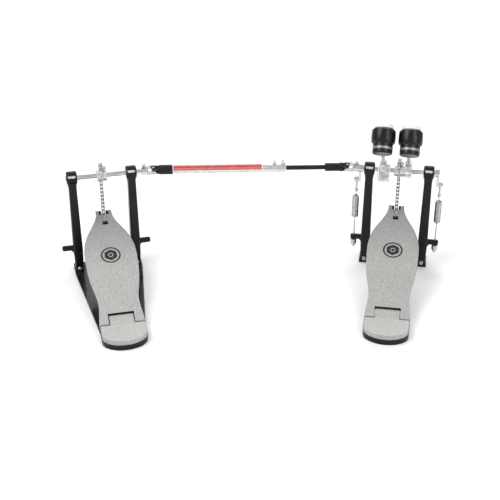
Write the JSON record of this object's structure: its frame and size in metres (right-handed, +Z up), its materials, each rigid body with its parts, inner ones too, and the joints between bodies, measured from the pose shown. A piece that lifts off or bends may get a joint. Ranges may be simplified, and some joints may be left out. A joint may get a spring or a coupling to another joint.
{
  "type": "bass drum pedal",
  "caption": "Double bass drum pedal: chain-drive main pedal with two felt beaters and a slave pedal joined to it by a telescopic drive shaft with universal joints.",
  "frame": {"origin": "on the floor under the middle of the main pedal's cam shaft", "axes": "+X along the main cam shaft to the player's right, +Y towards the drum, +Z up"},
  "size_m": [0.7347, 0.448, 0.3613],
  "materials": {
    "black_cast": "satin black enamel on castings",
    "grey_cast": "grey hammered enamel",
    "chrome": "bright chrome plate",
    "steel": "zinc-plated steel",
    "chain_steel": "nickel-plated roller chain",
    "tube_steel": "satin nickel tube with a plain red sleeve",
    "black_steel": "black oxide",
    "black_plastic": "moulded black",
    "white_felt": "pressed wool felt"
  },
  "bodies": {
    "main_frame": {"main_clamp_base": "black_cast", "main_left_post": "black_cast", "main_right_post": "black_cast", "main_frame_screws": "steel", "main_bearings": "steel", "main_radius_rods": "steel", "main_heel_base": "black_cast", "main_heel_plate": "grey_cast", "main_heel_pin": "steel", "spring_tension_bolts": "steel"},
    "hoop_jaw": {"hoop_jaw": "black_cast"},
    "hoop_screw": {"hoop_wing_bolt": "steel"},
    "main_footboard": {"main_footboard": "grey_cast", "main_toe_clevis": "black_steel", "main_toe_screw": "steel"},
    "main_chain_hanging": {"main_chain_hanging": "chain_steel"},
    "main_chain_bending": {"main_chain_bending": "chain_steel"},
    "main_cam": {"main_shaft": "chrome", "main_sprocket_hub": "chrome", "main_chain_wrapped": "chain_steel", "main_hub_screws": "steel", "main_spring_lever": "chrome"},
    "main_swivel": {"main_spring_swivel": "chrome"},
    "main_spring_top": {"main_spring": "steel"},
    "main_beater_rod": {"main_beater_rod": "chrome"},
    "main_beater": {"main_beater_head": "black_plastic", "main_beater_felt": "white_felt"},
    "aux_cam": {"aux_sleeve": "chrome", "aux_beater_hub": "chrome", "aux_hub_screws": "steel", "aux_spring_lever": "chrome", "aux_yoke": "chrome"},
    "aux_swivel": {"aux_spring_swivel": "chrome"},
    "aux_spring_top": {"aux_spring": "steel"},
    "aux_beater_rod": {"aux_beater_rod": "chrome"},
    "aux_beater": {"aux_beater_head": "black_plastic", "aux_beater_felt": "white_felt"},
    "main_cross": {"main_cross": "steel"},
    "drive_rod": {"drive_rod": "black_steel"},
    "slave_frame": {"slave_base_plate": "black_cast", "slave_left_post": "black_cast", "slave_right_post": "black_cast", "slave_frame_screws": "steel", "slave_bearings": "steel", "slave_heel_plate": "grey_cast", "slave_heel_pin": "steel"},
    "slave_footboard": {"slave_footboard": "grey_cast", "slave_toe_clevis": "black_steel", "slave_toe_screw": "steel"},
    "slave_chain_hanging": {"slave_chain_hanging": "chain_steel"},
    "slave_chain_bending": {"slave_chain_bending": "chain_steel"},
    "slave_cam": {"slave_shaft": "chrome", "slave_sprocket_hub": "chrome", "slave_chain_wrapped": "chain_steel", "slave_hub_screws": "steel", "slave_yoke": "chrome"},
    "slave_cross": {"slave_cross": "steel"},
    "drive_tube": {"drive_tube": "tube_steel", "drive_tube_yoke": "black_steel", "drive_clamp_screws": "chrome"}
  },
  "joints": [
    {"name": "main_footboard_hinge", "type": "hinge", "parent": "main_frame", "child": "main_footboard", "pos_m": [0, -0.227, 0.0125], "axis": [-1, 0, 0], "range_deg": [0, 4.59]},
    {"name": "main_cam_turn", "type": "hinge", "parent": "main_frame", "child": "main_cam", "pos_m": [0, 0, 0.205], "axis": [-1, 0, 0], "range_deg": [0, 58.02], "stiffness_Nm_per_rad": 1.2, "springref_deg": -8.59},
    {"name": "main_chain_swing", "type": "hinge", "parent": "main_footboard", "child": "main_chain_hanging", "pos_m": [0, 0.0205, 0.101], "axis": [-1, 0, 0], "range_deg": [-7.88, 0]},
    {"name": "main_chain_unroll", "type": "hinge", "parent": "main_cam", "child": "main_chain_bending", "pos_m": [0, 0.0145, 0.2195], "axis": [-1, 0, 0], "range_deg": [-38.79, 0]},
    {"name": "slave_footboard_hinge", "type": "hinge", "parent": "slave_frame", "child": "slave_footboard", "pos_m": [-0.48068, -0.3187, 0.0125], "axis": [-0.9298, -0.3681, 0], "range_deg": [0, 4.59]},
    {"name": "slave_cam_turn", "type": "hinge", "parent": "slave_frame", "child": "slave_cam", "pos_m": [-0.56425, -0.10764, 0.205], "axis": [-0.9298, -0.3681, 0], "range_deg": [0, 58.02]},
    {"name": "slave_chain_swing", "type": "hinge", "parent": "slave_footboard", "child": "slave_chain_hanging", "pos_m": [-0.5718, -0.08857, 0.101], "axis": [-0.9298, -0.3681, 0], "range_deg": [-7.88, 0]},
    {"name": "slave_chain_unroll", "type": "hinge", "parent": "slave_cam", "child": "slave_chain_bending", "pos_m": [-0.56959, -0.09416, 0.2195], "axis": [-0.9298, -0.3681, 0], "range_deg": [-38.79, 0]},
    {"name": "main_swivel_turn", "type": "hinge", "parent": "main_cam", "child": "main_swivel", "pos_m": [0.081, 0.00272, 0.17914], "axis": [-1, 0, 0], "range_deg": [-67.33, 0]},
    {"name": "main_spring_pull", "type": "slide", "parent": "main_frame", "child": "main_spring_top", "axis": [0, -0.8812, 0.4727], "range_m": [0, 0.02161], "deforming": ["main_spring"]},
    {"name": "main_beater_height", "type": "slide", "parent": "main_cam", "child": "main_beater_rod", "axis": [0, -0.788, 0.6157], "range_m": [-0.03, 0.012]},
    {"name": "main_beater_turn", "type": "hinge", "parent": "main_beater_rod", "child": "main_beater", "pos_m": [0.0172, -0.13476, 0.32488], "axis": [0, -0.788, 0.6157], "range_deg": [-8, 8]},
    {"name": "aux_cam_turn", "type": "hinge", "parent": "main_frame", "child": "aux_cam", "pos_m": [0, 0, 0.205], "axis": [-1, 0, 0], "range_deg": [0, 58.02], "stiffness_Nm_per_rad": 1.2, "springref_deg": -8.59},
    {"name": "aux_swivel_turn", "type": "hinge", "parent": "aux_cam", "child": "aux_swivel", "pos_m": [-0.081, 0.00272, 0.17914], "axis": [-1, 0, 0], "range_deg": [-67.33, 0]},
    {"name": "aux_spring_pull", "type": "slide", "parent": "main_frame", "child": "aux_spring_top", "axis": [0, -0.8812, 0.4727], "range_m": [0, 0.02161], "deforming": ["aux_spring"]},
    {"name": "aux_beater_height", "type": "slide", "parent": "aux_cam", "child": "aux_beater_rod", "axis": [0, -0.788, 0.6157], "range_m": [-0.03, 0.012]},
    {"name": "aux_beater_turn", "type": "hinge", "parent": "aux_beater_rod", "child": "aux_beater", "pos_m": [-0.031, -0.13476, 0.32488], "axis": [0, -0.788, 0.6157], "range_deg": [-8, 8]},
    {"name": "main_cross_tilt", "type": "hinge", "parent": "aux_cam", "child": "main_cross", "pos_m": [-0.101, 0, 0.205], "axis": [0, 0.8746, 0.4848], "range_deg": [-10.59, 0]},
    {"name": "drive_rod_turn", "type": "hinge", "parent": "main_frame", "child": "drive_rod", "pos_m": [-0.101, 0, 0.205], "axis": [-0.9823, -0.1874, 0], "range_deg": [0, 58.89]},
    {"name": "slave_telescope", "type": "slide", "parent": "main_frame", "child": "slave_frame", "axis": [-0.9823, -0.1874, 0], "range_m": [-0.06, 0.08]},
    {"name": "slave_cross_tilt", "type": "hinge", "parent": "slave_cam", "child": "slave_cross", "pos_m": [-0.47034, -0.07046, 0.205], "axis": [-0.322, 0.8132, 0.4848], "range_deg": [0, 10.59]},
    {"name": "drive_tube_turn", "type": "hinge", "parent": "slave_frame", "child": "drive_tube", "pos_m": [-0.47034, -0.07046, 0.205], "axis": [-0.9823, -0.1874, 0], "range_deg": [0, 58.89]},
    {"name": "hoop_jaw_hinge", "type": "hinge", "parent": "main_frame", "child": "hoop_jaw", "pos_m": [0, 0.031, 0.018], "axis": [1, 0, 0], "range_deg": [-3, 10]},
    {"name": "hoop_screw_travel", "type": "slide", "parent": "hoop_jaw", "child": "hoop_screw", "axis": [0, 0, 1], "range_m": [-0.00125, 0.00394]}
  ],
  "couplings": [
    {"joint": "main_cam_turn", "follows": "main_footboard_hinge", "ratio": 12.622},
    {"joint": "main_chain_swing", "follows": "main_footboard_hinge", "ratio": -1.7107},
    {"joint": "main_chain_unroll", "follows": "main_footboard_hinge", "ratio": -8.4366},
    {"joint": "slave_cam_turn", "follows": "slave_footboard_hinge", "ratio": 12.622},
    {"joint": "slave_chain_swing", "follows": "slave_footboard_hinge", "ratio": -1.7107},
    {"joint": "slave_chain_unroll", "follows": "slave_footboard_hinge", "ratio": -8.4366},
    {"joint": "main_swivel_turn", "follows": "main_footboard_hinge", "ratio": -14.648},
    {"joint": "main_spring_pull", "follows": "main_footboard_hinge", "m_per_rad": 0.26886},
    {"joint": "aux_cam_turn", "follows": "slave_footboard_hinge", "ratio": 12.622},
    {"joint": "aux_swivel_turn", "follows": "slave_footboard_hinge", "ratio": -14.648},
    {"joint": "aux_spring_pull", "follows": "slave_footboard_hinge", "m_per_rad": 0.26886},
    {"joint": "main_cross_tilt", "follows": "slave_footboard_hinge", "ratio": -2.2998},
    {"joint": "drive_rod_turn", "follows": "slave_footboard_hinge", "ratio": 12.812},
    {"joint": "slave_cross_tilt", "follows": "slave_footboard_hinge", "ratio": 2.2998},
    {"joint": "drive_tube_turn", "follows": "slave_footboard_hinge", "ratio": 12.812},
    {"joint": "hoop_screw_travel", "follows": "hoop_jaw_hinge", "m_per_rad": 0.022}
  ]
}
